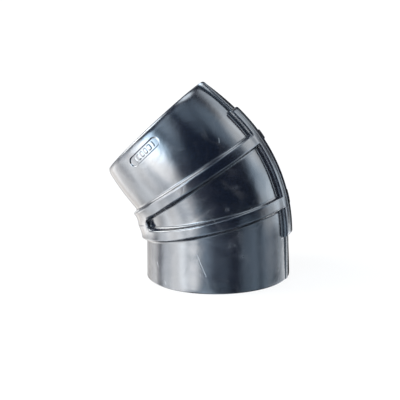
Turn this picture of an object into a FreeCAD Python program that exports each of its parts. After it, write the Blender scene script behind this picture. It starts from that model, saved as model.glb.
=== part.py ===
import FreeCAD, Part
import math
import os

import Sketcher
from FreeCAD import Vector, Rotation, Placement

# Moulded PVC elbow, 45 degrees, two plain solvent-weld sockets for 160 mm pipe.
# Frame: origin at the centre of the lower socket's mouth, +Z up the lower
# socket's axis, the bend turns towards -X, the spine rib is on +X, and XZ is the
# plane of symmetry (the mould's parting plane). Millimetres and degrees.

doc = FreeCAD.newDocument("pvc_elbow")

# ---------------------------------------------------------------- dimensions
DIMENSIONS = [
    ("outer_radius", 92.0),        # both walls where they meet the hoops
    ("lower_mouth_radius", 93.0),  # slight flare to the lower mouth
    ("upper_mouth_radius", 84.4),  # the upper wall draws in to its mouth
    ("bore_radius", 80.2),         # socket bore, takes a 160 mm pipe
    ("flow_radius", 76.0),         # water way behind the shoulders
    ("socket_depth", 60.0),        # mouth to shoulder
    ("stop_seat_radius", 84.0),    # outside of the pipe stops, let into the walls
    ("bend_angle", 45.0),
    ("bend_radius", 113.0),        # centreline of the swept bend
    ("lower_arm", 110.8),          # lower mouth to the crossing of the axes
    ("upper_arm", 117.8),          # upper mouth to the crossing of the axes
    ("lower_hoop_height", 83.0),   # lower mouth to the hoop's middle, on axis
    ("lower_hoop_tilt", 14.2),     # hoop plane against the lower mouth plane
    ("lower_hoop_width", 15.2),
    ("upper_hoop_depth", 87.0),    # upper mouth to the hoop's middle, on axis
    ("upper_hoop_tilt", 9.9),      # hoop plane against the upper mouth plane
    ("upper_hoop_width", 15.0),
    ("hoop_radius", 99.0),
    ("web_front", 73.0),           # web closes the hoops' gap beyond this, to -X
    ("spine_width", 24.0),
    ("spine_foot", 60.0),          # lower mouth to the spine's lower end
    ("spine_head", 54.5),          # upper mouth to the spine's upper end
    ("upper_land_width", 6.5),
    ("upper_land_mouth", 90.6),    # back of the land at the mouth
    ("upper_land_head", 95.2),     # and where it meets the spine
    ("upper_land_inset", 0.8),     # bore to the strip's inner edge, in the wall
    ("lower_land_width", 8.0),
    ("lower_land_radius", 93.8),
    ("lower_land_sink", 7.0),      # outer radius in to the strip's inner edge
    ("land_setback", 1.0),         # land ends short of each mouth
    ("plate_length", 51.0),        # sunk blank size plate by the upper mouth
    ("plate_width", 12.6),
    ("plate_setback", 19.0),       # mouth to the middle of the plate
    ("plate_floor_near", 85.1),    # floor radius at the near depth
    ("plate_floor_far", 87.8),     # floor radius at the far depth
    ("plate_near_depth", 10.0),    # mouth to the near end of the floor cone
    ("plate_far_depth", 28.0),     # mouth to the far end of the floor cone
    # Construction sizes: tools and blanks run past the faces they work on.
    ("overrun", 20.0),             # bores and water way past their ends
    ("block_half_side", 200.0),    # half side of the blocks on the hoop planes
    ("block_reach", 300.0),        # how far those blocks run off their plane
    ("plate_reach", 110.0),        # plate prism from the parting plane
    ("spine_inner", 60.0),         # spine blank, from each socket's axis
    ("spine_outer", 150.0),
    ("web_box_reach", 200.0),      # web blank's extent to -X and to +Z
    ("web_box_half_width", 120.0),
]
sheet = doc.addObject("Spreadsheet::Sheet", "Dims")
for row, (alias, value) in enumerate(DIMENSIONS, start=1):
    sheet.set("A%d" % row, alias)
    sheet.set("B%d" % row, str(value))
    sheet.setAlias("B%d" % row, alias)
dims = dict(DIMENSIONS)
doc.recompute()

# Expressions are written with @name for Dims.name.
BEND = "@bend_angle"
# Distance from the crossing of the axes to either end of the swept bend.
TANGENT = "@bend_radius * tan(@bend_angle / 2)"
# Straight length from each mouth to the swept bend.
LOWER_RUN = "(@lower_arm - %s)" % TANGENT
UPPER_RUN = "(@upper_arm - %s)" % TANGENT

# The same in numbers, for the starting geometry of the sketches.
bend_angle = math.radians(dims["bend_angle"])
upper_run = dims["upper_arm"] - dims["bend_radius"] * math.tan(bend_angle / 2)


# ------------------------------------------------------------ objects and places
def bind(obj, prop, text):
    obj.setExpression(prop, text.replace("@", "Dims."))


def add(kind, name, **texts):
    """A new object with the given properties bound to expressions."""
    obj = doc.addObject(kind, name)
    for prop, text in texts.items():
        bind(obj, prop, text)
    return obj


def place(obj, x, z, angle, y="0"):
    """Placement by expressions: base (x, y, z), turned about +Y by angle."""
    # Any non-zero turn fixes the axis; the angle is then driven.
    obj.Placement = Placement(Vector(0, 0, 0), Rotation(Vector(0, 1, 0), 10))
    bind(obj, "Placement.Base.x", x)
    bind(obj, "Placement.Base.y", y)
    bind(obj, "Placement.Base.z", z)
    bind(obj, "Placement.Rotation.Angle", angle)
    return obj


def upper_point(along):
    """x and z of a point on the upper axis, along mm from the axes' crossing."""
    return "-(%s) * sin(%s)" % (along, BEND), "@lower_arm + (%s) * cos(%s)" % (along, BEND)


def place_upper(obj, along):
    """Stand an object on the upper axis, its +Z towards the upper mouth."""
    x, z = upper_point(along)
    return place(obj, x, z, "-(%s)" % BEND)


def cut(name, base, tool):
    result = doc.addObject("Part::Cut", name)
    result.Base = base
    result.Tool = tool
    return result


def common(name, base, tool):
    result = doc.addObject("Part::Common", name)
    result.Base = base
    result.Tool = tool
    return result


def joined(name, *shapes):
    result = doc.addObject("Part::MultiFuse", name)
    result.Shapes = list(shapes)
    return result


pieces = []


def piece(label, name, base, tool):
    """The last cut of a finished piece, listed for export under its label."""
    result = cut(name, base, tool)
    result.Label = label
    pieces.append(result)
    return result


# -------------------------------------------------------------- bodies, sketches
# A sketch coordinate is a pair: starting value and driving expression.
ZERO = (0, "0")


def plus(alias):
    return dims[alias], "@" + alias


def minus(alias):
    return -dims[alias], "-@" + alias


def new_body(name):
    return doc.addObject("PartDesign::Body", name)


def upper_body(name):
    """A body with its origin at the upper mouth, +Z out of it, +X to the spine."""
    return place_upper(new_body(name), "@upper_arm")


def new_sketch(body, name):
    """An empty sketch on the body's XZ plane."""
    sketch = body.newObject("Sketcher::SketchObject", name)
    plane = [f for f in body.Origin.OriginFeatures if f.Role == "XZ_Plane"][0]
    sketch.AttachmentSupport = [(plane, "")]
    sketch.MapMode = "FlatFace"
    return sketch


def drive(sketch, text, *constraint):
    """Add a dimension and bind it to an expression."""
    index = sketch.addConstraint(Sketcher.Constraint(*constraint))
    bind(sketch, "Constraints[%d]" % index, text)


def drive_point(sketch, kind, geometry, point, coordinate):
    """Drive a point's distance from the sketch origin."""
    value, text = coordinate
    drive(sketch, text, kind, -1, 1, geometry, point, value)


def outline(body, name, corners, arc_side=None, arc_centre=None):
    """A closed sketch through the corners, each a pair of coordinates.

    Side arc_side, if given, is a clockwise arc about arc_centre, which is a plain
    starting x and a driven y."""
    sketch = new_sketch(body, name)
    count = len(corners)
    points = [Vector(x[0], y[0], 0) for x, y in corners]
    sides = []  # geometry index, its start point and its end point
    for i in range(count):
        start = points[i]
        end = points[(i + 1) % count]
        if i == arc_side:
            centre = Vector(arc_centre[0], arc_centre[1][0], 0)
            start_angle = math.atan2(start.y - centre.y, start.x - centre.x)
            end_angle = math.atan2(end.y - centre.y, end.x - centre.x)
            circle = Part.Circle(centre, Vector(0, 0, 1), (start - centre).Length)
            # Arcs are stored counter-clockwise, so this one is entered in reverse.
            arc = Part.ArcOfCircle(circle, end_angle, start_angle)
            sides.append((sketch.addGeometry(arc, False), 2, 1))
        else:
            line = Part.LineSegment(start, end)
            sides.append((sketch.addGeometry(line, False), 1, 2))
    for i in range(count):
        following = sides[(i + 1) % count]
        sketch.addConstraint(Sketcher.Constraint(
            "Coincident", sides[i][0], sides[i][2], following[0], following[1]))
    for (x, y), side in zip(corners, sides):
        for kind, coordinate, axis in (("DistanceX", x, -2), ("DistanceY", y, -1)):
            if coordinate == ZERO:
                sketch.addConstraint(Sketcher.Constraint(
                    "PointOnObject", side[0], side[1], axis))
            else:
                drive_point(sketch, kind, side[0], side[1], coordinate)
    if arc_side is not None:
        drive_point(sketch, "DistanceY", sides[arc_side][0], 3, arc_centre[1])
    doc.recompute()
    return sketch


def extrude_both(body, prefix, corners, width):
    """Pad an outline evenly to both sides of the parting plane."""
    sketch = outline(body, prefix + "_profile", corners)
    pad = body.newObject("PartDesign::Pad", prefix + "_pad")
    pad.Profile = sketch
    pad.Midplane = True
    bind(pad, "Length", width)
    body.Tip = pad
    doc.recompute()
    return body


# ------------------------------------------------------------------ hoop planes
# The walls and the bend meet at the hoops' middle planes.
UPPER_HOOP_X, UPPER_HOOP_Z = upper_point("@upper_arm - @upper_hoop_depth")
# x and z of each plane's point on its axis, and the plane's tilt.
LOWER_PLANE = ("0", "@lower_hoop_height", "@lower_hoop_tilt")
UPPER_PLANE = (UPPER_HOOP_X, UPPER_HOOP_Z, "(@bend_angle - @upper_hoop_tilt)")


def plane_block(name, plane, low, high):
    """A block between two planes parallel to a hoop plane, low to high off it."""
    plane_x, plane_z, tilt = plane
    block = add("Part::Box", name, Length="2 * @block_half_side",
                Width="2 * @block_half_side", Height="(%s) - (%s)" % (high, low))
    x = "(%s) - @block_half_side * cos(%s) - (%s) * sin(%s)" % (plane_x, tilt, low, tilt)
    z = "(%s) - @block_half_side * sin(%s) + (%s) * cos(%s)" % (plane_z, tilt, low, tilt)
    return place(block, x, z, "-(%s)" % tilt, "-@block_half_side")


above_lower = plane_block("above_lower_hoop", LOWER_PLANE, "0", "@block_reach")
below_lower = plane_block("below_lower_hoop", LOWER_PLANE, "-@block_reach", "0")
above_upper = plane_block("above_upper_hoop", UPPER_PLANE, "0", "@block_reach")
below_upper = plane_block("below_upper_hoop", UPPER_PLANE, "-@block_reach", "0")
lower_slab = plane_block("lower_hoop_slab", LOWER_PLANE,
                         "-@lower_hoop_width / 2", "@lower_hoop_width / 2")
upper_slab = plane_block("upper_hoop_slab", UPPER_PLANE,
                         "-@upper_hoop_width / 2", "@upper_hoop_width / 2")


# ------------------------------------------------------- solids along the elbow
def lower_rod(name, radius, start):
    """A cylinder on the lower axis, from start mm above the mouth to the bend."""
    rod = add("Part::Cylinder", name, Radius=radius, Height="%s - (%s)" % (LOWER_RUN, start))
    return place(rod, "0", start, "0")


def upper_rod(name, radius, start):
    """A cylinder on the upper axis, from the bend to start mm inside the mouth."""
    rod = add("Part::Cylinder", name, Radius=radius, Height="%s - (%s)" % (UPPER_RUN, start))
    return place_upper(rod, TANGENT)


def sweep(name, radius):
    """The swept bend: a sector of a torus about the bend's centre."""
    torus = add("Part::Torus", name, Radius1="@bend_radius", Radius2=radius, Angle3=BEND)
    torus.Placement = Placement(Vector(0, 0, 0), Rotation(Vector(1, 0, 0), 90))
    bind(torus, "Placement.Base.x", "-@bend_radius")
    bind(torus, "Placement.Base.z", LOWER_RUN)
    return torus


def run_through(name, radius, inset="0"):
    """A solid of one radius along the elbow, starting inset mm inside each mouth."""
    return joined(name,
                  lower_rod(name + "_low", radius, inset),
                  sweep(name + "_bend", radius),
                  upper_rod(name + "_high", radius, inset))


def upper_barrel():
    """The upper wall, drawn in to its mouth on an arc tangent to the straight."""
    body = upper_body("upper_barrel")
    draw_in = dims["outer_radius"] - dims["upper_mouth_radius"]
    arc_radius = (upper_run ** 2 + draw_in ** 2) / (2 * draw_in)
    bend_end = (-upper_run, "-" + UPPER_RUN)
    sketch = outline(body, "barrel_profile", [
        (ZERO, ZERO),
        (plus("upper_mouth_radius"), ZERO),
        (plus("outer_radius"), bend_end),
        (ZERO, bend_end),
    ], arc_side=1, arc_centre=(dims["outer_radius"] - arc_radius, bend_end))
    barrel = body.newObject("PartDesign::Revolution", "barrel")
    barrel.Profile = sketch
    barrel.ReferenceAxis = (sketch, ["V_Axis"])
    barrel.Angle = 360
    body.Tip = barrel
    doc.recompute()
    return body


lower_cone = add("Part::Cone", "lower_cone", Radius1="@lower_mouth_radius",
                 Radius2="@outer_radius", Height=LOWER_RUN)
wall_solid = joined("wall_solid", lower_cone, sweep("wall_bend", "@outer_radius"),
                    upper_barrel())
hoop_solid = run_through("hoop_solid", "@hoop_radius")
seat_solid = run_through("seat_solid", "@stop_seat_radius", "@socket_depth")
flow_solid = run_through("flow_solid", "@flow_radius", "-@overrun")


def socket_bore(name):
    return add("Part::Cylinder", name, Radius="@bore_radius",
               Height="@socket_depth + @overrun")


lower_bore = place(socket_bore("lower_bore"), "0", "-@overrun", "0")
upper_bore = place_upper(socket_bore("upper_bore"), "@upper_arm - @socket_depth")


# ----------------------------------------------------------------- socket walls
def size_plate_tool():
    """A stadium prism to -Y, square to the parting plane, less the plate's floor."""
    body = upper_body("plate_prism")
    sketch = new_sketch(body, "plate_outline")
    end_radius = dims["plate_width"] / 2
    flat = dims["plate_length"] / 2 - end_radius
    middle = -dims["plate_setback"]

    def side(z):
        line = Part.LineSegment(Vector(-flat, z, 0), Vector(flat, z, 0))
        return sketch.addGeometry(line, False)

    def end(x, start_angle):
        circle = Part.Circle(Vector(x, middle, 0), Vector(0, 0, 1), end_radius)
        arc = Part.ArcOfCircle(circle, start_angle, start_angle + math.pi)
        return sketch.addGeometry(arc, False)

    top = side(middle + end_radius)
    bottom = side(middle - end_radius)
    right = end(flat, -math.pi / 2)
    left = end(-flat, math.pi / 2)
    for constraint in (("Tangent", right, 2, top, 2), ("Tangent", right, 1, bottom, 2),
                       ("Tangent", left, 1, top, 1), ("Tangent", left, 2, bottom, 1),
                       ("Horizontal", top)):
        sketch.addConstraint(Sketcher.Constraint(*constraint))
    drive_point(sketch, "DistanceX", right, 3, (flat, "@plate_length / 2 - @plate_width / 2"))
    drive_point(sketch, "DistanceX", left, 3, (-flat, "-@plate_length / 2 + @plate_width / 2"))
    drive_point(sketch, "DistanceY", right, 3, minus("plate_setback"))
    drive(sketch, "@plate_width / 2", "Radius", right, end_radius)
    pad = body.newObject("PartDesign::Pad", "plate_pad")
    pad.Profile = sketch
    bind(pad, "Length", "@plate_reach")
    body.Tip = pad
    doc.recompute()
    floor_cone = add("Part::Cone", "plate_floor_cone", Radius1="@plate_floor_far",
                     Radius2="@plate_floor_near",
                     Height="@plate_far_depth - @plate_near_depth")
    place_upper(floor_cone, "@upper_arm - @plate_far_depth")
    return cut("plate_tool", body, floor_cone)


lower_wall = cut("lower_wall_solid", wall_solid, above_lower)
lower_seated = cut("lower_seated", lower_wall, seat_solid)
piece("lower_socket", "lower_socket_wall", lower_seated, lower_bore)

upper_wall = cut("upper_wall_solid", wall_solid, below_upper)
upper_seated = cut("upper_seated", upper_wall, seat_solid)
upper_bored = cut("upper_bored", upper_seated, upper_bore)
piece("upper_socket", "upper_socket_wall", upper_bored, size_plate_tool())

# ------------------------------------------------------------------- pipe stops
# Shoulders the pipes stop against: liners from the shoulder to the hoop's plane.
liner = cut("liner_bored", seat_solid, flow_solid)
piece("lower_pipe_stop", "lower_stop", liner, above_lower)
piece("upper_pipe_stop", "upper_stop", liner, below_upper)

# --------------------------------------------------------- the bend between them
bend_foot = cut("bend_foot", wall_solid, below_lower)
bend_cap = cut("bend_cap", bend_foot, above_upper)
piece("bend_segment", "bend_wall", bend_cap, flow_solid)


# -------------------------------------------------------------------- spine rib
# A plate on the parting plane between the foot and head planes, taken back to the
# hoops' tube radius, so its back runs flush with theirs.
def spine_head_corner(alias):
    """The point on the head plane the named distance out from the upper axis."""
    along = dims["upper_arm"] - dims["spine_head"]
    x = -along * math.sin(bend_angle) + dims[alias] * math.cos(bend_angle)
    z = (dims["lower_arm"] + along * math.cos(bend_angle)
         + dims[alias] * math.sin(bend_angle))
    head_x, head_z = upper_point("@upper_arm - @spine_head")
    return ((x, "%s + @%s * cos(%s)" % (head_x, alias, BEND)),
            (z, "%s + @%s * sin(%s)" % (head_z, alias, BEND)))


spine_plate = extrude_both(new_body("spine_plate"), "spine", [
    (plus("spine_inner"), plus("spine_foot")),
    (plus("spine_outer"), plus("spine_foot")),
    spine_head_corner("spine_outer"),
    spine_head_corner("spine_inner"),
], "@spine_width")
spine_back = common("spine_back", spine_plate, hoop_solid)
piece("spine_rib", "spine_clear", spine_back, wall_solid)


# -------------------------------------------------------------------- hoop ribs
def hoop_band(name, slab):
    """A full hoop around the wall, still running through the spine."""
    return cut(name, common(name + "_a", hoop_solid, slab), wall_solid)


lower_band = hoop_band("lower_band", lower_slab)
piece("lower_hoop_rib", "lower_hoop_clear", lower_band, spine_plate)

upper_band = hoop_band("upper_band", upper_slab)
upper_open = cut("upper_hoop_a", upper_band, spine_plate)
piece("upper_hoop_rib", "upper_hoop_clear", upper_open, lower_band)

# ------------------------------------------------------------------- crotch web
# On the inside of the bend the hoops converge, and a web as high as they are
# closes what is left of the gap between them.
web_box = add("Part::Box", "web_box", Length="@web_box_reach - @web_front",
              Width="2 * @web_box_half_width", Height="@web_box_reach")
place(web_box, "-@web_box_reach", "0", "0", "-@web_box_half_width")
under_lower_band = plane_block("under_lower_band", LOWER_PLANE,
                               "-@block_reach", "@lower_hoop_width / 2")
over_upper_band = plane_block("over_upper_band", UPPER_PLANE,
                              "-@upper_hoop_width / 2", "@block_reach")
web_blank = common("web_env", hoop_solid, web_box)
web_over_lower = cut("web_a", web_blank, under_lower_band)
web_between = cut("web_between", web_over_lower, over_upper_band)
piece("crotch_web", "web_clear", web_between, wall_solid)

# ---------------------------------------------------------------- parting lands
# Thin strips on the spine side, from near each mouth to the spine's ends.
lower_land_root = (dims["outer_radius"] - dims["lower_land_sink"],
                   "@outer_radius - @lower_land_sink")
lower_strip = extrude_both(new_body("lower_land_strip"), "lower_land", [
    (lower_land_root, plus("land_setback")),
    (plus("lower_land_radius"), plus("land_setback")),
    (plus("lower_land_radius"), plus("spine_foot")),
    (lower_land_root, plus("spine_foot")),
], "@lower_land_width")
piece("lower_parting_land", "lower_land_clear", lower_strip, wall_solid)

upper_land_root = (dims["bore_radius"] + dims["upper_land_inset"],
                   "@bore_radius + @upper_land_inset")
upper_strip = extrude_both(upper_body("upper_land_strip"), "upper_land", [
    (upper_land_root, minus("land_setback")),
    (plus("upper_land_mouth"), minus("land_setback")),
    (plus("upper_land_head"), minus("spine_head")),
    (upper_land_root, minus("spine_head")),
], "@upper_land_width")
piece("upper_parting_land", "upper_land_clear", upper_strip, wall_solid)

# -------------------------------------------------------------- check and export
doc.recompute()
failed = [o.Name for o in doc.Objects if "Invalid" in o.State or "Error" in o.State]
if failed:
    raise RuntimeError("failed objects: %s" % failed)
for part in pieces:
    if part.Shape.isNull() or not part.Shape.isValid() or not part.Shape.Solids:
        raise RuntimeError("bad shape: %s" % part.Label)

os.makedirs("parts", exist_ok=True)
for part in pieces:
    part.Shape.exportStep("parts/%s.step" % part.Label)
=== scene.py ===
import math

import bpy
import numpy as np
from mathutils import Matrix, Vector


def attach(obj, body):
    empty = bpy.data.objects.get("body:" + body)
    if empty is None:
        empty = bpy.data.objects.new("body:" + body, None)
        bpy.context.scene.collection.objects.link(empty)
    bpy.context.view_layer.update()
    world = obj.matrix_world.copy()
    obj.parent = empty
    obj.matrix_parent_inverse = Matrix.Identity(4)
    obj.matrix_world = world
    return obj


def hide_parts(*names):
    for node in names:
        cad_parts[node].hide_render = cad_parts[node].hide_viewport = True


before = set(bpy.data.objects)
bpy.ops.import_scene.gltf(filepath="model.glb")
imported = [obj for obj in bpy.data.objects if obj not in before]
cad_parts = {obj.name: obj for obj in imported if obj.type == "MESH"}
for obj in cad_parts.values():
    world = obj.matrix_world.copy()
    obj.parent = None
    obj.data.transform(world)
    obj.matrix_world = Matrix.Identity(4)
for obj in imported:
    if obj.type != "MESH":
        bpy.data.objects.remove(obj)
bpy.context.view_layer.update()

# ------------------------------------------------------------------ dimensions
# Millimetres, the same numbers as the CAD sheet; the mesh is scaled to metres.
R_WALL, R_LOW, R_HIGH = 92.0, 93.0, 84.4
R_BORE, R_FLOW, DEPTH = 80.2, 76.0, 60.0
BEND, RB = math.radians(45.0), 113.0
ARM_L, ARM_U = 110.8, 117.8
H1, T1, W1 = 83.0, math.radians(14.2), 15.2
D2, T2, W2 = 87.0, math.radians(45.0 - 9.9), 15.0
RIB = 7.0
SPINE, FOOT, HEAD = 24.0, 60.0, 54.5
UL_W, UL_0, UL_1, SETBACK = 6.5, 90.6, 95.2, 1.0
LL_W, LL_R = 8.0, 93.8
WEB_X = -73.0
PL_L, PL_W, PL_A, PL_D = 51.0, 12.6, 19.0, 1.3
FILL = 3.4
ROUND = 9.0

RUN = RB * math.tan(BEND / 2)
ZL, UR = ARM_L - RUN, ARM_U - RUN
SARC = RB * BEND
ST = ZL + SARC + UR
P1 = (0.0, H1)
P2 = (-(ARM_U - D2) * math.sin(BEND), ARM_L + (ARM_U - D2) * math.cos(BEND))


# -------------------------------------------------------------- centreline maths
def centre(s):
    a = np.clip((s - ZL) / RB, 0.0, BEND)
    ds = s - np.clip(s, ZL, ZL + SARC)
    x = -RB + RB * np.cos(a) - np.sin(a) * ds
    z = ZL + RB * np.sin(a) + np.cos(a) * ds
    return x, z, a


def point(s, th, rho):
    x, z, a = centre(s)
    w = rho * np.cos(th)
    return np.stack([x + w * np.cos(a), rho * np.sin(th), z + w * np.sin(a)], -1)


def smooth(t):
    t = np.clip(t, 0.0, 1.0)
    return t * t * (3 - 2 * t)


def barrel(a):
    """Outer radius a mm in from the upper mouth."""
    drop = R_WALL - R_HIGH
    rb = (UR ** 2 + drop ** 2) / (2 * drop)
    t = np.clip(UR - a, 0, None)
    return R_WALL - rb + np.sqrt(np.clip(rb * rb - t * t, 0, None))


NOSE_A, NOSE_R = 10.0, 3.3       # rounding of the upper mouth's outer edge
LIP = 1.5                       # and of the lower one's


def wall(s):
    """Outer radius of the plain wall along the centreline, mouth edges rounded."""
    a = ST - s
    r = np.where(s < ZL, R_LOW + (R_WALL - R_LOW) * np.clip(s, 0, ZL) / ZL,
                 np.where(a < UR, barrel(a), R_WALL))
    t = np.clip((NOSE_A - a) / NOSE_A, 0, 1)
    r = r - NOSE_R * (1 - np.sqrt(np.clip(1 - t ** 2.2, 0, 1)))
    t = np.clip((LIP - s) / LIP, 0, 1)
    return r - LIP * (1 - np.sqrt(np.clip(1 - t * t, 0, 1)))


def bore(s):
    """Inner radius of a socket, with the small lead-in at its mouth."""
    a = np.minimum(s, ST - s)
    return R_BORE + np.where(s < ZL, 0.9, 0.35) * np.clip(1 - a / 1.3, 0, 1) ** 1.6


# ------------------------------------------------------------------- rib profile
def profile(top, edge, root, draft, n_edge=6, n_root=7):
    """Rib flank as (distance out from the flank, height) samples."""
    c, s = math.cos(draft), math.sin(draft)
    x1 = (-edge - (top / 2 - edge) * s) / c
    x2 = (root - (root - top / 2) * s) / c
    pts = [(x1 - 0.8 * edge, top), (x1 - 0.35 * edge, top)]
    for k in range(n_edge + 1):
        t = math.pi / 2 + (draft - math.pi / 2) * k / n_edge
        pts.append((x1 + edge * math.cos(t), top - edge + edge * math.sin(t)))
    for k in range(n_root + 1):
        t = draft + (math.pi / 2 - draft) * k / n_root
        pts.append((x2 - root * math.cos(t), root - root * math.sin(t)))
    pts.append((pts[-1][0] + 0.8, 0.0))
    return np.array(pts)


FLANK = profile(RIB, 2.4, 3.8, math.radians(5))
TIP = profile(RIB, 4.2, 1.6, math.radians(6))
WEBP = profile(RIB, 1.8, 2.6, math.radians(6))


def height(table, d):
    return np.interp(d, table[:, 0], table[:, 1])


def smax(a, b, k):
    k = np.minimum(k, np.minimum(a, b))
    kk = np.maximum(k, 1e-9)
    return np.maximum(a, b) + np.where(k > 1e-9, np.maximum(kk - np.abs(a - b), 0) ** 2 / (4 * kk), 0)


# ----------------------------------------------------------------------- columns
cols = []                       # (kind, value): y on the outside of the bend, x at
ys = [0.0, 0.3, 0.55, 0.9, 1.6, 2.3, 2.6, 2.85, 3.1, 3.35, 3.6, 3.9, 4.2, 4.6, 5.2, 6.0, 6.9, 7.7]
ys += [SPINE / 2 + v for v in FLANK[:, 0] if SPINE / 2 + v > 8.2]
ys += [19.0, 21.5, 24.3, 27.3]
xs = [WEB_X + v for v in WEBP[::-1, 0]]
half = [("y", v) for v in ys]
t0 = math.asin(27.3 / 95.5)
t1 = math.acos(xs[0] / 95.5)
t2 = math.acos(xs[-1] / 95.5)


def spread(a, b, step):
    n = max(1, int(math.ceil((b - a) / step)))
    return list(np.linspace(a, b, n + 1)[1:-1])


STEP = math.radians(1.55)
plain = half + [("t", v) for v in spread(t0, t1, STEP)] + [("x", v) for v in xs] \
    + [("t", v) for v in spread(t2, math.pi - 0.022, STEP)] \
    + [("t", math.pi - v) for v in (0.022, 0.009, 0.0055, 0.003)] + [("t", math.pi)]
pa, pb = math.radians(90 - 18.5), math.radians(90 + 18.5)
fine = half + [("t", v) for v in spread(t0, pa, STEP)] \
    + [("t", v) for v in np.linspace(pa, pb, 84)] \
    + [("t", v) for v in spread(pb, t1, STEP)] + [("x", v) for v in xs] \
    + [("t", v) for v in spread(t2, math.pi - 0.022, STEP)] \
    + [("t", math.pi - v) for v in (0.022, 0.009, 0.0055, 0.003)]
cols = [(k, v, -1) for k, v in reversed(fine[1:])] + [(k, v, 1) for k, v in plain]
NC = len(cols)
c_kind = np.array([k for k, v, g in cols])
c_val = np.array([v for k, v, g in cols])
c_sgn = np.array([g for k, v, g in cols], float)
TH0 = np.where(c_kind == "y", np.arcsin(np.clip(c_val / 95.5, -1, 1)),
               np.where(c_kind == "x", np.arccos(np.clip(c_val / 95.5, -1, 1)), c_val))
Y0 = 95.5 * np.sin(TH0)
by = (TH0 < 1.0) * (1 - smooth((Y0 - 18.0) / 9.0))
TH_WEB = math.acos(WEB_X / 95.5)
bx = 1 - smooth((np.abs(TH0 - TH_WEB) - math.radians(4.5)) / math.radians(19.0))


def theta(s_ref, rho):
    """Angle of each column at radius rho: near the spine a column keeps its y, near
    the web's front it keeps its x (s_ref is the row's arc length there), elsewhere
    it keeps its angle."""
    t = TH0 + by * (np.arcsin(np.clip(Y0 / rho, -1, 1)) - TH0)
    a = np.clip((s_ref - ZL) / RB, 0, BEND)
    ds = np.clip(s_ref - ZL - SARC, 0, None)
    w = (WEB_X + RB - RB * np.cos(a) + np.sin(a) * ds) / np.cos(a)
    tx = np.arccos(np.clip(w / rho, -0.99, 0.99)) - TH_WEB
    near = bx * smooth((s_ref - 42.0) / 16.0) * (1 - smooth((s_ref - 92.0) / 24.0))
    return (t + near * np.clip(tx, -0.14, 0.14)) * c_sgn


# -------------------------------------------------------------------------- rows
def on_plane(p, tilt, q, rho, th):
    """Arc length at which the columns at angles th meet the plane q off p's."""
    s = np.full(np.broadcast(rho, th).shape, (ZL + 30.0) if p is P1 else ST - 90.0)
    n = (-math.sin(tilt), math.cos(tilt))
    for _ in range(14):
        x, z, a = centre(s)
        w = rho * np.cos(th)
        f = n[0] * (x + w * np.cos(a) - p[0]) + n[1] * (z + w * np.sin(a) - p[1]) - q
        g = np.cos(tilt - a) * np.where((s > ZL) & (s < ZL + SARC), 1 + w / RB, 1.0)
        s = s - np.clip(f / g, -25, 25) * 0.9
    return s


angle = np.abs(TH0)
foot_drop = 24.0 * smooth((angle - 0.6) / 2.2)
head_rise = 5.0 * smooth((angle - 0.6) / 2.2)
s1_ = on_plane(P1, T1, W1 / 2, 95.5, TH0)
s2_ = on_plane(P2, T2, -W2 / 2, 95.5, TH0)
gap = np.linalg.norm(point(s2_, TH0, 95.5) - point(s1_, TH0, 95.5), axis=-1)
reach = FLANK[-1, 0]
squeeze = np.minimum(1.0, gap / (2 * reach + 2.5))


def row_s(spec, rho, th):
    k = spec[0]
    if k == "low":              # s mm above the lower mouth
        return np.full(th.shape, spec[1])
    if k == "high":             # a mm in from the upper mouth
        return np.full(th.shape, ST - spec[1])
    if k == "foot":
        return FOOT + spec[1] - foot_drop + 0 * rho
    if k == "head":
        return ST - HEAD + spec[1] + head_rise + 0 * rho
    if k == "h1":
        if spec[1] > W1 / 2:    # beyond the band, in the gap: squeezed where it closes
            return on_plane(P1, T1, W1 / 2 + (spec[1] - W1 / 2) * squeeze, rho, th)
        return on_plane(P1, T1, spec[1], rho, th)
    if k == "h2":
        if spec[1] < -W2 / 2:
            return on_plane(P2, T2, -W2 / 2 + (spec[1] + W2 / 2) * squeeze, rho, th)
        return on_plane(P2, T2, spec[1], rho, th)
    a, b, f = spec[1:]
    return row_s(a, rho, th) * (1 - f) + row_s(b, rho, th) * f


def between(a, b, n):
    return [("mix", a, b, k / (n + 1)) for k in range(1, n + 1)]


out = [float(v) for v in FLANK[:, 0]]
tip = [float(v) for v in TIP[:, 0]]
rows = [("low", v) for v in (0.0, 0.06, 0.2, 0.42, 0.7, 0.85, 1.0, 1.15, 1.5, 2.1, 3.2, 5.0, 7.5)]
rows += between(("low", 7.5), ("foot", -tip[-1]), 12)
rows += [("foot", -v) for v in tip[::-1]]
rows += between(("foot", -tip[0]), ("h1", -W1 / 2 - out[-1]), 7)
A1 = len(rows)
rows += [("h1", -W1 / 2 - v) for v in out[::-1]]
rows += [("h1", v) for v in (-2.4,)]
M1 = len(rows)
rows += [("h1", 0.0), ("h1", 2.4)]
rows += [("h1", W1 / 2 + v) for v in out]
B1 = len(rows) - 1
rows += between(("h1", W1 / 2 + out[-1]), ("h2", -W2 / 2 - out[-1]), 22)
A2 = len(rows)
rows += [("h2", -W2 / 2 - v) for v in out[::-1]]
rows += [("h2", v) for v in (-2.4,)]
M2 = len(rows)
rows += [("h2", 0.0), ("h2", 2.4)]
rows += [("h2", W2 / 2 + v) for v in out]
B2 = len(rows) - 1
rows += between(("h2", W2 / 2 + out[-1]), ("head", tip[0]), 8)
rows += [("head", v) for v in tip]
N2 = len(rows) - 1
rows += between(("head", tip[-1]), ("high", 27.6), 9)
rows += [("high", v) for v in np.linspace(27.6, 10.6, 30)]
rows += [("high", v) for v in (9.0, 7.4, 6.0, 4.8, 3.8, 3.0, 2.4, 1.9, 1.55, 1.3, 1.15, 1.0, 0.85, 0.65, 0.4, 0.2, 0.08, 0.02, 0.0)]
NR = len(rows)
FOOT_LO = next(i for i, r in enumerate(rows) if r[0] == "foot")


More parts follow.
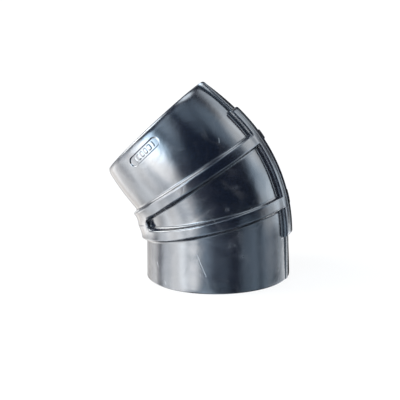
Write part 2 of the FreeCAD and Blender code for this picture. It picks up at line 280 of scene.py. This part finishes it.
WEB_COL = int(np.argmin(np.abs(TH0 - TH_WEB) + (c_sgn < 0)))
S_REF = np.array([row_s(r, 95.5, TH0)[WEB_COL] for r in rows])


def grid(rho):
    """(rows, columns) of arc length and angle at a given radius field."""
    rr = rho if np.ndim(rho) else np.full((NR, NC), float(rho))
    th = np.stack([theta(S_REF[i], rr[i]) for i in range(NR)])
    s = np.stack([row_s(r, rr[i], th[i]) for i, r in enumerate(rows)])
    return s, th


# -------------------------------------------------------------------- heights
s_mid, th_mid = grid(95.5)
p_mid = point(s_mid, th_mid, 95.5)


def band(p, tilt, width):
    q = -math.sin(tilt) * (p_mid[..., 0] - p[0]) + math.cos(tilt) * (p_mid[..., 2] - p[1])
    return np.abs(q) - width / 2


outer_side = np.cos(th_mid) > 0.2
d1, d2 = band(P1, T1, W1), band(P2, T2, W2)
for i, r in enumerate(rows):    # exact on the bands' own rows
    if r[0] == "h1":
        d1[i] = abs(r[1]) - W1 / 2
    if r[0] == "h2":
        d2[i] = abs(r[1]) - W2 / 2
y_mid = p_mid[..., 1]
d_side = np.where(outer_side, np.abs(y_mid) - SPINE / 2, 99.0)
d_end = np.maximum(FOOT - s_mid, s_mid - (ST - HEAD))
h_spine = np.minimum(height(FLANK, d_side), height(TIP, d_end))
h_hoops = np.maximum(height(FLANK, d1), height(FLANK, d2))
ri = np.arange(NR)[:, None]
in_gap = (ri > M1) & (ri < M2)
d_web = np.where(in_gap & (np.cos(th_mid) < 0), p_mid[..., 0] - WEB_X, 99.0)
t_abs = np.abs(th_mid)
h_hoops = h_hoops * (1 - 0.30 * smooth((t_abs - 0.12) / 0.12) * (1 - smooth((t_abs - 0.50) / 0.55)))
h_web = height(WEBP, d_web)
h = np.minimum(smax(smax(h_hoops, h_spine, 1.6), h_web, 1.6), RIB)


def smin(a, b, k):
    """Smaller of two distances, rounded over k where they are alike."""
    return np.minimum(a, b) - np.maximum(k - np.abs(a - b), 0) ** 2 / (4 * k)


# the pocket between the bands and the web ends in a rounded corner, not a square one
d_round = smin(smin(np.maximum(d1, 0), np.maximum(d_web, 0), ROUND),
               np.maximum(d2, 0), ROUND)
near_end = in_gap & (np.cos(th_mid) < 0) & (d_web < 16) & (d_web > -1)
h = np.maximum(h, np.where(near_end, height(WEBP, d_round), 0.0))

# the inside of the bend is filled out between the bands in a wider curve
q1_ = -math.sin(T1) * (p_mid[..., 0] - P1[0]) + math.cos(T1) * (p_mid[..., 2] - P1[1])
q2_ = -math.sin(T2) * (p_mid[..., 0] - P2[0]) + math.cos(T2) * (p_mid[..., 2] - P2[1])
t_ = np.clip((q1_ + 4.5) / np.maximum((q1_ + 4.5) + (4.5 - q2_), 1e-6), 0, 1)
fill = FILL * np.sin(math.pi * t_) ** 2 * smooth((np.abs(th_mid) - 2.35) / 0.42)
fill = fill * ((ri > A1) & (ri < B2))
h = h + fill * np.clip(h / RIB, 0, 1)

base = wall(s_mid)
a_mid = ST - s_mid


def step(d, w):
    """1 inside, 0 outside, S-shaped over w mm."""
    return 1 - smooth(d / w + 0.5)


flat = 1 / np.clip(np.cos(th_mid), 0.2, 1)
top_hi = (UL_0 + (UL_1 - UL_0) * (a_mid - SETBACK) / (HEAD - SETBACK)) * flat - base
top_hi = top_hi - 2.4 * np.clip(1 - (a_mid - SETBACK) / 4.0, 0, 1) ** 2
land_hi = np.clip(top_hi, 0, None) * step(np.abs(y_mid) - UL_W / 2, 1.1) \
    * step(SETBACK - a_mid, 0.6) * outer_side * (ri > B2)
top_lo = LL_R * flat - base
land_lo = np.clip(top_lo, 0, None) * step(np.abs(y_mid) - LL_W / 2, 0.9) \
    * step(SETBACK - s_mid, 0.6) * outer_side * (ri < A1)
h = np.maximum(h, np.maximum(land_hi, land_lo))

# parting line: a hair-thin raised seam on the bend plane, both sides
seam = 0.22 * np.exp(-(y_mid / 0.34) ** 2)
seam = seam * step(3.0 - np.minimum(s_mid, a_mid), 2.0)
h = h + seam

# blank size plate sunk into the upper socket's front
u = (wall(s_mid) * np.cos(th_mid))
v = a_mid - PL_A
on_front = np.sin(th_mid) < -0.5
hl = (PL_L - PL_W) / 2
d_plate = np.where(on_front, np.hypot(np.maximum(np.abs(u) - hl, 0), v) - PL_W / 2, 99.0)
sink = (0.55 + 0.95 * smooth((-u - 14.0) / 9.0)) * step(d_plate, 1.6)
ticks = np.zeros_like(h)
for c, wdt in ((-15.5, 1.5), (-9.3, 3.9), (-2.9, 3.9), (3.5, 3.9), (10.2, 4.6), (16.6, 1.5)):
    d = np.hypot(np.maximum(np.abs(u - c) - wdt / 2 + 0.8, 0), np.maximum(np.abs(v) - 2.5, 0)) - 0.8
    ticks = np.maximum(ticks, step(np.where(on_front, d, 99.0), 1.1))
h = h - sink + 0.42 * ticks

# slight sink marks where the ribs' thick sections shrank while cooling
waves = 0.10 * np.sin(3.1 * th_mid + 0.045 * s_mid) * np.sin(0.061 * s_mid + 1.3) \
    + 0.07 * np.sin(7.3 * th_mid - 0.09 * s_mid + 0.7)
plain_wall = 1 - smooth(np.abs(h) / 0.5)
h = h + waves * plain_wall * step(2.5 - np.minimum(s_mid, a_mid), 3.0)

rho_skin = base + h
s_skin, th_skin = grid(rho_skin)
SKIN = point(s_skin, th_skin, wall(s_skin) + h)
s_sunk, th_sunk = grid(R_WALL - 1.0)
SUNK = point(s_sunk, th_sunk, wall(s_sunk) - 1.0)
s_b, th_b = grid(R_BORE)
BORE = point(s_b, th_b, bore(s_b))
s_f, th_f = grid(R_FLOW)
FLOW = point(s_f, th_f, np.full_like(s_f, R_FLOW))


def tangent(p, axis, wrap):
    """Derivative along one grid direction, exact on uneven spacing."""
    if wrap:
        fwd, bwd = np.roll(p, -1, axis) - p, p - np.roll(p, 1, axis)
    else:
        d = p[1:] - p[:-1]
        fwd, bwd = np.concatenate([d, d[-1:]]), np.concatenate([d[:1], d])
    lf = np.maximum(np.linalg.norm(fwd, axis=-1, keepdims=True), 1e-9)
    lb = np.maximum(np.linalg.norm(bwd, axis=-1, keepdims=True), 1e-9)
    return (fwd / lf * lb + bwd / lb * lf) / (lf + lb)


def grid_normals(p):
    n = np.cross(tangent(p, 1, True), tangent(p, 0, False))
    return n / np.maximum(np.linalg.norm(n, axis=-1, keepdims=True), 1e-12)


N_SKIN = grid_normals(SKIN)
out_dir = SKIN - point(s_skin, th_skin, wall(s_skin) - 10)
if (N_SKIN * out_dir).sum() < 0:
    N_SKIN = -N_SKIN


def radial(s, th):
    return point(s, th, 1.0) - point(s, th, 0.0)


N_SUNK, N_BORE, N_FLOW = radial(s_sunk, th_sunk), -radial(s_b, th_b), -radial(s_f, th_f)

d_all = np.minimum(np.minimum(d1, d2), np.minimum(np.maximum(d_side, d_end), d_web))
# lighter colour along the rounded edges of the ribs, lands and mouth rims: a painted highlight
EDGE_HIGHLIGHT = np.exp(-((d_all + 1.2) / 0.9) ** 2)
CAVITY = np.exp(-((d_all - 2.2) / 1.7) ** 2)
d_land = np.minimum(np.where(outer_side & (ri > B2), np.abs(np.abs(y_mid) - UL_W / 2), 99),
                    np.where(outer_side & (ri < A1), np.abs(np.abs(y_mid) - LL_W / 2), 99))
EDGE_HIGHLIGHT = np.maximum(EDGE_HIGHLIGHT, 0.8 * np.exp(-((d_land) / 0.5) ** 2))
EDGE_HIGHLIGHT = np.maximum(EDGE_HIGHLIGHT, 0.6 * np.exp(-((np.minimum(s_mid, a_mid) - 1.0) / 0.9) ** 2))
CAVITY = np.maximum(CAVITY, 0.9 * np.exp(-((d_plate + 0.9) / 0.8) ** 2))


# -------------------------------------------------------------------- mesh pieces
def make(name, verts, faces, normals, nodes, edge=None, cavity=None, inside=None):
    mesh = bpy.data.meshes.new(name)
    mesh.from_pydata((np.asarray(verts) / 1000.0).tolist(), [], np.asarray(faces).tolist())
    mesh.update()
    for label, data in (("edge", edge), ("cavity", cavity), ("inside", inside)):
        attr = mesh.attributes.new(label, "FLOAT", "POINT")
        attr.data.foreach_set("value", np.asarray(data, np.float32))
    mesh.polygons.foreach_set("use_smooth", np.ones(len(faces), bool))
    mesh.normals_split_custom_set(np.asarray(normals, float).reshape(-1, 3).tolist())
    obj = bpy.data.objects.new(name, mesh)
    bpy.context.scene.collection.objects.link(obj)
    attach(obj, "root")
    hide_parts(*nodes)
    return obj


def shell(name, visible, hidden, inner, n_inner, nodes, inner_is_sunk=False):
    """A closed piece over a set of grid cells: its skin where visible, the sunk
    surface where another piece lies over it, and its inner surface below."""
    layers = {"skin": (SKIN, N_SKIN), "sunk": (SUNK, N_SUNK), "in": (inner, n_inner)}
    ids = {k: -np.ones((NR, NC), int) for k in layers}
    verts, meta, faces, norms = [], [], [], []

    def vid(layer, i, j):
        j %= NC
        if ids[layer][i, j] < 0:
            ids[layer][i, j] = len(verts)
            verts.append(layers[layer][0][i, j])
            meta.append((EDGE_HIGHLIGHT[i, j] if layer == "skin" else 0.0,
                         CAVITY[i, j] if layer == "skin" else 0.0,
                         1.0 if layer == "in" else 0.0))
        return ids[layer][i, j]

    def quad(pts, flat_normal):
        ids_ = [vid(*p) for p in pts]
        faces.append(ids_)
        if flat_normal:
            p = np.array([verts[k] for k in ids_])
            n = np.cross(p[2] - p[0], p[3] - p[1])
            n = n / max(np.linalg.norm(n), 1e-12)
            norms.extend([n] * 4)
        else:
            norms.extend([layers[l][1][i, j % NC] for l, i, j in pts])

    own = visible | hidden
    for i, j in zip(*np.nonzero(own)):
        layer = "skin" if visible[i, j] else "sunk"
        c = [(i, j), (i, j + 1), (i + 1, j + 1), (i + 1, j)]
        quad([(layer, a, b) for a, b in c], False)
        quad([("in", a, b) for a, b in reversed(c)], False)
        # the four sides of this cell: (neighbour cell, edge start, edge end)
        for ni, nj, a, b in ((i - 1, j, (i, j), (i, j + 1)),
                             (i, j + 1, (i, j + 1), (i + 1, j + 1)),
                             (i + 1, j, (i + 1, j + 1), (i + 1, j)),
                             (i, j - 1, (i + 1, j), (i, j))):
            inside = 0 <= ni < NR - 1 and own[ni, nj % NC]
            if not inside:
                quad([(layer, *b), (layer, *a), ("in", *a), ("in", *b)], True)
            elif layer == "skin" and hidden[ni, nj % NC]:
                quad([("skin", *b), ("skin", *a), ("sunk", *a), ("sunk", *b)], True)
    m = np.array(meta)
    return make(name, verts, faces, norms, nodes, m[:, 0], m[:, 1], m[:, 2])


ci = np.arange(NC)
y_out = np.where((c_kind == "y"), c_val, 999.0)
mid_y = np.maximum(y_out, np.roll(y_out, -1))
ra = np.arange(NR - 1)[:, None]
is_spine = (mid_y <= SPINE / 2 + FLANK[-1, 0] + 1e-6)[None, :]
is_hl = (mid_y <= 8.0)[None, :]
is_ll = (mid_y <= 5.3)[None, :]
x_in = np.where((c_kind == "x") | (TH0 > t2 - 1e-9), 1, 0)
is_web = ((x_in * np.roll(x_in, -1)) > 0)[None, :]
C_SPINE = is_spine & (ra >= FOOT_LO) & (ra < N2)
C_HOOP1 = (ra >= A1) & (ra < B1) & ~C_SPINE
C_HOOP2 = (ra >= A2) & (ra < B2) & ~C_SPINE
C_WEB = (ra >= B1) & (ra < A2) & is_web
land_top_row = next(i for i, r in enumerate(rows) if r[0] == "high" and r[1] <= 0.65)
land_low_row = next(i for i, r in enumerate(rows) if r[0] == "low" and r[1] >= 0.42)
C_LH = is_hl & (ra >= N2) & (ra < land_top_row)
C_LL = is_ll & (ra >= land_low_row) & (ra < FOOT_LO)
C_RIBS = C_SPINE | C_HOOP1 | C_HOOP2 | C_WEB | C_LH | C_LL
LOWER, MIDDLE, UPPER = (ra < M1) & (ci >= 0), (ra >= M1) & (ra < M2) & (ci >= 0), (ra >= M2) & (ci >= 0)
none = np.zeros((NR - 1, NC), bool)

pieces = [
    shell("lower_socket_body", LOWER & ~C_RIBS, LOWER & C_RIBS, BORE, N_BORE, ["lower_socket"]),
    shell("bend_segment_body", MIDDLE & ~C_RIBS, MIDDLE & C_RIBS, FLOW, N_FLOW, ["bend_segment"]),
    shell("upper_socket_body", UPPER & ~C_RIBS, UPPER & C_RIBS, BORE, N_BORE, ["upper_socket"]),
    shell("lower_hoop", C_HOOP1 | none, none, SUNK, -N_SUNK, ["lower_hoop_rib"]),
    shell("upper_hoop", C_HOOP2 | none, none, SUNK, -N_SUNK, ["upper_hoop_rib"]),
    shell("inner_web", C_WEB | none, none, SUNK, -N_SUNK, ["crotch_web"] if "crotch_web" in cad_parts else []),
    shell("outer_spine", C_SPINE | none, none, SUNK, -N_SUNK, ["spine_rib"]),
    shell("upper_land", C_LH | none, none, SUNK, -N_SUNK, ["upper_parting_land"]),
    shell("lower_land", C_LL | none, none, SUNK, -N_SUNK, ["lower_parting_land"]),
]


def liner(name, low, nodes):
    """The shoulder a pipe stops against and its liner, up to the hoop's mid plane."""
    n = 240
    th = np.linspace(-math.pi, math.pi, n, endpoint=False)
    end_p, tilt = (P1, T1) if low else (P2, T2)

    def end_s(rho):
        s = np.full(n, H1 if low else ST - D2)
        nn = (-math.sin(tilt), math.cos(tilt))
        for _ in range(14):
            x, z, a = centre(s)
            w = rho * np.cos(th)
            f = nn[0] * (x + w * np.cos(a) - end_p[0]) + nn[1] * (z + w * np.sin(a) - end_p[1])
            g = np.cos(tilt - a) * np.where((s > ZL) & (s < ZL + SARC), 1 + w / RB, 1.0)
            s = s - f / g
        return s

    g = 1 if low else -1
    s0 = DEPTH if low else ST - DEPTH
    ring = [(s0, R_BORE - 0.02), (s0, 79.4), (s0, 77.4), (s0 + g * 0.1, 76.9),
            (s0 + g * 0.35, 76.5), (s0 + g * 0.8, 76.15), (s0 + g * 1.5, R_FLOW)]
    loop, nrm = [], []
    for k, (s, r) in enumerate(ring):
        loop.append(point(np.full(n, s), th, r))
    e_in, e_out = end_s(R_FLOW), end_s(R_BORE - 0.02)
    for f in (0.15, 0.35, 0.6, 0.85, 1.0):
        loop.append(point(s0 + g * 1.5 + (e_in - s0 - g * 1.5) * f, th, R_FLOW))
    k_end = len(loop) - 1
    loop.append(point(e_out, th, R_BORE - 0.02))
    for f in (0.7, 0.4, 0.15):
        loop.append(point(s0 + (e_out - s0) * f, th, R_BORE - 0.02))
    p = np.stack(loop)
    m = len(loop)
    verts = p.reshape(-1, 3)
    faces, norms = [], []
    rad = (point(np.full(n, s0), th, 1.0) - point(np.full(n, s0), th, 0.0))
    ax = np.array([0, 0, -1.0]) if low else np.array([-math.sin(BEND), 0, math.cos(BEND)])
    blend = [1, 1, 1, 0.8, 0.55, 0.25, 0]     # how far each ring faces the mouth
    vn = {}
    for k in range(7):
        c, q = blend[k], math.sqrt(max(0.0, 1 - blend[k] ** 2))
        vn[k] = ax[None] * c - rad * q
    for k in range(7, k_end + 1):
        sa = (s0 + g * 1.5 + (e_in - s0 - g * 1.5) * (0.15, 0.35, 0.6, 0.85, 1.0)[k - 7])
        vn[k] = -(point(sa, th, 1.0) - point(sa, th, 0.0))
    for k in range(m):
        k2 = (k + 1) % m
        for j in range(n):
            j2 = (j + 1) % n
            f = [k * n + j, k * n + j2, k2 * n + j2, k2 * n + j]
            if not low:
                f = f[::-1]
            f = f[::-1]
            faces.append(f)
            if k < k_end:
                look = {k * n + j: vn[k][j], k * n + j2: vn[k][j2],
                        k2 * n + j: vn[k2][j], k2 * n + j2: vn[k2][j2]}
                norms.extend([look[x] for x in f])
            else:
                q = verts[f]
                nn = np.cross(q[2] - q[0], q[3] - q[1])
                norms.extend([nn / max(np.linalg.norm(nn), 1e-12)] * 4)
    edge = np.zeros((m, n))
    # the shoulder's rounding gets the same lighter colour: a painted highlight
    edge[3:5] = 0.5
    cav = np.zeros((m, n))
    cav[0:2] = 0.7
    return make(name, verts, faces, norms, nodes, edge.ravel(), cav.ravel(), np.ones(m * n))


pieces.append(liner("lower_stop_liner", True, ["lower_pipe_stop"]))
pieces.append(liner("upper_stop_liner", False, ["upper_pipe_stop"]))


# ----------------------------------------------------------------------- material
def new_material(name):
    m = bpy.data.materials.new(name)
    m.use_nodes = True
    m.node_tree.nodes.clear()
    return m, m.node_tree


class Graph:
    """Small helper for writing node trees."""

    def __init__(self, tree):
        self.t = tree

    def node(self, kind, **kw):
        n = self.t.nodes.new(kind)
        for k, v in kw.items():
            setattr(n, k, v)
        return n

    def put(self, socket, v):
        if isinstance(v, bpy.types.NodeSocket):
            self.t.links.new(v, socket)
        else:
            socket.default_value = v

    def math(self, op, a, b=0.0, c=None, clamp=False):
        n = self.node("ShaderNodeMath", operation=op, use_clamp=clamp)
        self.put(n.inputs[0], a)
        self.put(n.inputs[1], b)
        if c is not None:
            self.put(n.inputs[2], c)
        return n.outputs[0]

    def vec(self, op, a, b=None):
        n = self.node("ShaderNodeVectorMath", operation=op)
        self.put(n.inputs[0], a)
        if b is not None:
            self.put(n.inputs[1], b)
        return n.outputs["Value"] if op in ("DOT_PRODUCT", "LENGTH", "DISTANCE") else n.outputs[0]

    def remap(self, v, a, b, c=0.0, d=1.0, smoothstep=True):
        n = self.node("ShaderNodeMapRange", interpolation_type="SMOOTHSTEP" if smoothstep else "LINEAR")
        for s, x in zip(n.inputs, (v, a, b, c, d)):
            self.put(s, x)
        return n.outputs[0]

    def noise(self, coord, scale, detail=4.0, rough=0.5, distortion=0.0, dims="3D"):
        n = self.node("ShaderNodeTexNoise", noise_dimensions=dims)
        self.put(n.inputs["Vector"], coord)
        n.inputs["Scale"].default_value = scale
        n.inputs["Detail"].default_value = detail
        n.inputs["Roughness"].default_value = rough
        n.inputs["Distortion"].default_value = distortion
        return n.outputs["Fac"]

    def mix(self, f, a, b):
        n = self.node("ShaderNodeMix", data_type="RGBA")
        self.put(n.inputs["Factor"], f)
        self.put(n.inputs["A"], a)
        self.put(n.inputs["B"], b)
        return n.outputs["Result"]

    def attr(self, name):
        return self.node("ShaderNodeAttribute", attribute_name=name).outputs["Fac"]

    def stretch(self, coord, rot, scale):
        n = self.node("ShaderNodeMapping")
        self.put(n.inputs["Vector"], coord)
        n.inputs["Rotation"].default_value = rot
        n.inputs["Scale"].default_value = scale
        return n.outputs[0]

    def segment(self, pos, a, b, w0, w1):
        """1 on the line from a to b (metres), 0 beyond w1."""
        a, b = Vector(a), Vector(b)
        ab = b - a
        ap = self.vec("SUBTRACT", pos, tuple(a))
        t = self.math("DIVIDE", self.vec("DOT_PRODUCT", ap, tuple(ab)), ab.length_squared, clamp=True)
        n = self.node("ShaderNodeVectorMath", operation="SCALE")
        n.inputs[0].default_value = tuple(ab)
        self.put(n.inputs["Scale"], t)
        d = self.vec("DISTANCE", ap, n.outputs[0])
        return self.remap(d, w0, w1, 1.0, 0.0)


pvc, tree = new_material("dark_pvc_moulded")
g = Graph(tree)
pos = g.node("ShaderNodeNewGeometry").outputs["Position"]
edge, cavity, inside = g.attr("edge"), g.attr("cavity"), g.attr("inside")

cloud = g.noise(pos, 14.0, 5.0, 0.55, 0.6)
blotch = g.noise(pos, 34.0, 6.0, 0.62, 1.2)
fine = g.noise(pos, 420.0, 3.0, 0.6)
grain = g.noise(pos, 2600.0, 2.0, 0.5)

# base colour: blue-black compound, faintly purple-brown where it has bloomed
base_c = g.mix(g.remap(cloud, 0.38, 0.66), (0.0028, 0.0046, 0.0092, 1), (0.0062, 0.0074, 0.0125, 1))
base_c = g.mix(g.math("MULTIPLY", g.remap(blotch, 0.50, 0.72), 0.55), base_c, (0.030, 0.029, 0.032, 1))
# painted highlight: lighter colour along the rounded edges (the edge attribute)
base_c = g.mix(g.math("MULTIPLY", edge, 0.30), base_c, (0.055, 0.058, 0.064, 1))
base_c = g.mix(g.math("MULTIPLY", cavity, 0.30), base_c, (0.022, 0.021, 0.021, 1))
dust = g.math("MULTIPLY", g.remap(fine, 0.64, 0.78), 0.12)
base_c = g.mix(dust, base_c, (0.16, 0.16, 0.16, 1))

# handling scratches: fine long hairs at three angles, only in a few patches
marks = []
for rot, scale, lo, hi in (((0.3, 0.5, 0.2), (1500.0, 9.0, 7.0), 0.70, 0.80),
                           ((1.1, 0.2, 0.9), (1300.0, 8.0, 10.0), 0.71, 0.80),
                           ((0.2, 1.3, 1.9), (1100.0, 7.0, 9.0), 0.72, 0.81)):
    n = g.noise(g.stretch(pos, rot, scale), 1.0, 0.0, 0.4)
    marks.append(g.remap(n, lo, hi))
hair = g.math("MAXIMUM", g.math("MAXIMUM", marks[0], marks[1]), marks[2])
hair = g.math("MULTIPLY", hair, g.math("MULTIPLY", g.remap(g.noise(pos, 30.0, 2.0), 0.52, 0.68), 0.3))

# single scratches and rubs
CUTS = [((0.0012, -0.0922, 0.0516), (0.0075, -0.0921, 0.0365)),
        ((0.0075, -0.0921, 0.0365), (0.0129, -0.0918, 0.0237)),
        ((0.0201, -0.0535, 0.1973), (0.0215, -0.0565, 0.1921)),
        ((-0.0604, -0.0701, 0.0310), (-0.0446, -0.0814, 0.0056))]
RUBS = [((0.0356, -0.0753, 0.1379), (0.0506, -0.0637, 0.1376), 0.0004, 0.0040, 0.26),
        ((0.0381, -0.0802, 0.1110), (0.0390, -0.0796, 0.1112), 0.0006, 0.0048, 0.34),
        ((0.0457, -0.0798, 0.0651), (0.0591, -0.0710, 0.0465), 0.0010, 0.0135, 0.26),
        ((-0.0167, -0.0907, 0.0538), (0.0107, -0.0915, 0.0590), 0.0004, 0.0042, 0.12)]
cut_ = None
for a_, b_ in CUTS:
    k = g.segment(pos, a_, b_, 0.00010, 0.00062)
    cut_ = k if cut_ is None else g.math("MAXIMUM", cut_, k)
rub = None
wisp = g.remap(g.noise(pos, 110.0, 3.0, 0.55, 0.2), 0.30, 0.78)
for a_, b_, w0, w1, amount in RUBS:
    k = g.math("MULTIPLY", g.math("MULTIPLY", g.segment(pos, a_, b_, w0, w1), wisp), amount)
    rub = k if rub is None else g.math("MAXIMUM", rub, k)
base_c = g.mix(g.math("MULTIPLY", rub, 0.75), base_c, (0.115, 0.112, 0.118, 1))
base_c = g.mix(g.math("MULTIPLY", cut_, 0.55), base_c, (0.26, 0.27, 0.28, 1))
rough = g.math("ADD", 0.15, g.math("MULTIPLY", g.remap(cloud, 0.3, 0.7), 0.07))
rough = g.math("ADD", rough, g.math("MULTIPLY", g.remap(blotch, 0.5, 0.72), 0.06))
rough = g.math("ADD", rough, g.math("MULTIPLY", hair, 0.18))
rough = g.math("ADD", rough, g.math("MULTIPLY", rub, 0.25))
rough = g.math("ADD", rough, g.math("MULTIPLY", cavity, 0.08))
rough = g.math("ADD", rough, g.math("MULTIPLY", inside, 0.10))

height_ = g.math("MULTIPLY", g.noise(pos, 34.0, 3.0, 0.45, 0.5), 1.0)
height_ = g.math("ADD", height_, g.math("MULTIPLY", grain, 0.002))
height_ = g.math("SUBTRACT", height_, g.math("MULTIPLY", hair, 0.020))
height_ = g.math("SUBTRACT", height_, g.math("MULTIPLY", cut_, 0.16))
bump = g.node("ShaderNodeBump")
bump.inputs["Strength"].default_value = 0.55
bump.inputs["Distance"].default_value = 0.0009
g.put(bump.inputs["Height"], height_)

bsdf = g.node("ShaderNodeBsdfPrincipled")
g.put(bsdf.inputs["Base Color"], base_c)
g.put(bsdf.inputs["Roughness"], rough)
g.put(bsdf.inputs["Normal"], bump.outputs[0])
bsdf.inputs["IOR"].default_value = 1.70
bsdf.inputs["Coat Weight"].default_value = 0.0
outp = g.node("ShaderNodeOutputMaterial")
g.put(outp.inputs["Surface"], bsdf.outputs[0])
for o in pieces:
    o.data.materials.append(pvc)

# ------------------------------------------------------------------ stage and light
def plane(name, size, loc, rot=(0, 0, 0)):
    m = bpy.data.meshes.new(name)
    k = size / 2
    m.from_pydata([(-k, -k, 0), (k, -k, 0), (k, k, 0), (-k, k, 0)], [], [(0, 1, 2, 3)])
    o = bpy.data.objects.new(name, m)
    o.location, o.rotation_euler = loc, rot
    bpy.context.scene.collection.objects.link(o)
    return o


GLOW, SHADE = 0.90, 0.07
floor = plane("floor", 60.0, (0, 0, -0.0004))
fm, ft = new_material("floor_white")
fg = Graph(ft)
fb = fg.node("ShaderNodeBsdfDiffuse")
fb.inputs["Color"].default_value = (0.93, 0.93, 0.93, 1)
clear = fg.node("ShaderNodeBsdfTransparent")
fmix = fg.node("ShaderNodeMixShader")       # the gloss sees the studio, not the floor
fg.put(fmix.inputs[0], fg.node("ShaderNodeLightPath").outputs["Is Glossy Ray"])
fg.put(fmix.inputs[1], fb.outputs[0])
fg.put(fmix.inputs[2], clear.outputs[0])
glow = fg.node("ShaderNodeEmission")        # lifts the paper to white for the camera
glow.inputs["Strength"].default_value = GLOW
thin = fg.node("ShaderNodeBsdfDiffuse")
thin.inputs["Color"].default_value = (SHADE, SHADE, SHADE, 1)
both = fg.node("ShaderNodeAddShader")
fg.put(both.inputs[0], glow.outputs[0])
fg.put(both.inputs[1], thin.outputs[0])
fcam = fg.node("ShaderNodeMixShader")
fg.put(fcam.inputs[0], fg.node("ShaderNodeLightPath").outputs["Is Camera Ray"])
fg.put(fcam.inputs[1], fmix.outputs[0])
fg.put(fcam.inputs[2], both.outputs[0])
fo = fg.node("ShaderNodeOutputMaterial")
fg.put(fo.inputs["Surface"], fcam.outputs[0])
floor.data.materials.append(fm)

world = bpy.data.worlds.new("studio")
bpy.context.scene.world = world
world.use_nodes = True
wt = world.node_tree
wt.nodes.clear()
wg = Graph(wt)
gen = wg.node("ShaderNodeTexCoord").outputs["Generated"]
# soft boxes round the object: azimuth and elevation the light comes from in
# degrees, strength, and tint from warm (below 0) to cool (above 0)
SPREAD = (7.0, 21.0)            # full strength inside, nothing beyond
LIGHTS = [
    (-72, 48, 13.7, 0.08),
    (-22, 14, 12.8, 0.25),
    (-90, 14, 12.9, 0.01),
    (-77, 30, 10.7, -0.01),
    (-45, 0, 10.7, 0.08),
    (-22, 0, 8.8, -0.06),
    (180, 68, 7.5, 0.10),
    (-51, -30, 5.4, 0.04),
    (154, -30, 5.3, 0.05),
    (-30, -15, 5.0, 0.08),
    (-70, -15, 4.4, 0.06),
    (129, 30, 4.2, 0.04),
    (135, 0, 4.0, 0.12),
    (-72, -48, 3.9, 0.06),
    (-103, -30, 3.7, -0.00),
    (0, -30, 2.7, 0.22),
    (154, 30, 2.5, 0.11),
    (-129, -30, 2.3, -0.04),
    (112, 14, 2.2, 0.25),
    (0, 48, 2.1, 0.19),
    (-50, -15, 1.9, -0.10),
    (-77, -30, 1.8, -0.00),
    (112, 0, 1.8, 0.00),
    (-110, -15, 1.7, -0.00),
    (108, 48, 1.4, 0.25),
    (0, 30, 1.2, 0.25),
    (60, 68, 1.2, 0.25),
    (26, -30, 1.1, 0.25),
    (70, -15, 1.0, 0.25),
    (-10, -15, 1.0, 0.25),
    (110, -15, 0.9, 0.25),
    (90, -15, 0.6, 0.25),
    (-140, 0, 1.0, 0.00),
    (-155, -15, 1.0, 0.00),
    (-150, 25, 0.9, 0.00),
]
AMBIENT = 0.03
gen = wg.vec("NORMALIZE", gen)
total = None
for az, el, power, tint in LIGHTS:
    a, e = math.radians(az), math.radians(el)
    d = (math.sin(a) * math.cos(e), -math.cos(a) * math.cos(e), math.sin(e))
    ang = wg.math("ARCCOSINE", wg.vec("DOT_PRODUCT", gen, d))
    k = wg.remap(ang, math.radians(SPREAD[0]), math.radians(SPREAD[1]), 1.0, 0.0)
    n = wg.node("ShaderNodeVectorMath", operation="SCALE")
    n.inputs[0].default_value = (power * (1 - tint), power, power * (1 + tint))
    wg.put(n.inputs["Scale"], k)
    total = n.outputs[0] if total is None else wg.vec("ADD", total, n.outputs[0])
total = wg.vec("ADD", total, (AMBIENT, AMBIENT, AMBIENT))
back = wg.node("ShaderNodeBackground")
wg.put(back.inputs["Color"], total)
white = wg.node("ShaderNodeBackground")
white.inputs["Color"].default_value = (1, 1, 1, 1)
lp = wg.node("ShaderNodeLightPath")
mixs = wg.node("ShaderNodeMixShader")
wg.put(mixs.inputs[0], lp.outputs["Is Camera Ray"])
wg.put(mixs.inputs[1], back.outputs[0])
wg.put(mixs.inputs[2], white.outputs[0])
wo = wg.node("ShaderNodeOutputWorld")
wg.put(wo.inputs["Surface"], mixs.outputs[0])

# ------------------------------------------------------------------------- camera
AZ, EL, ROLL = math.radians(18.0), math.radians(15.54), math.radians(-0.76)
TARGET = Vector((-0.257 * 0.092, 0.0, 1.064 * 0.092))
DIST = 40 * 0.092
backv = Vector((math.sin(AZ) * math.cos(EL), -math.cos(AZ) * math.cos(EL), math.sin(EL)))
cam_data = bpy.data.cameras.new("camera")
cam = bpy.data.objects.new("camera", cam_data)
bpy.context.scene.collection.objects.link(cam)
cam_data.sensor_width = 36.0
cam_data.lens = 70.6 * 40 * 36.0 / 400.0
cam_data.clip_start, cam_data.clip_end = 0.05, 50.0
cam.rotation_mode = "QUATERNION"
q = (-backv).to_track_quat("-Z", "Y")
from mathutils import Quaternion
cam.rotation_quaternion = q @ Quaternion((0, 0, 1), ROLL)
cam.location = TARGET + backv * DIST
bpy.context.scene.camera = cam
bpy.context.scene.view_settings.view_transform = "Standard"
bpy.context.scene.view_settings.look = "None"
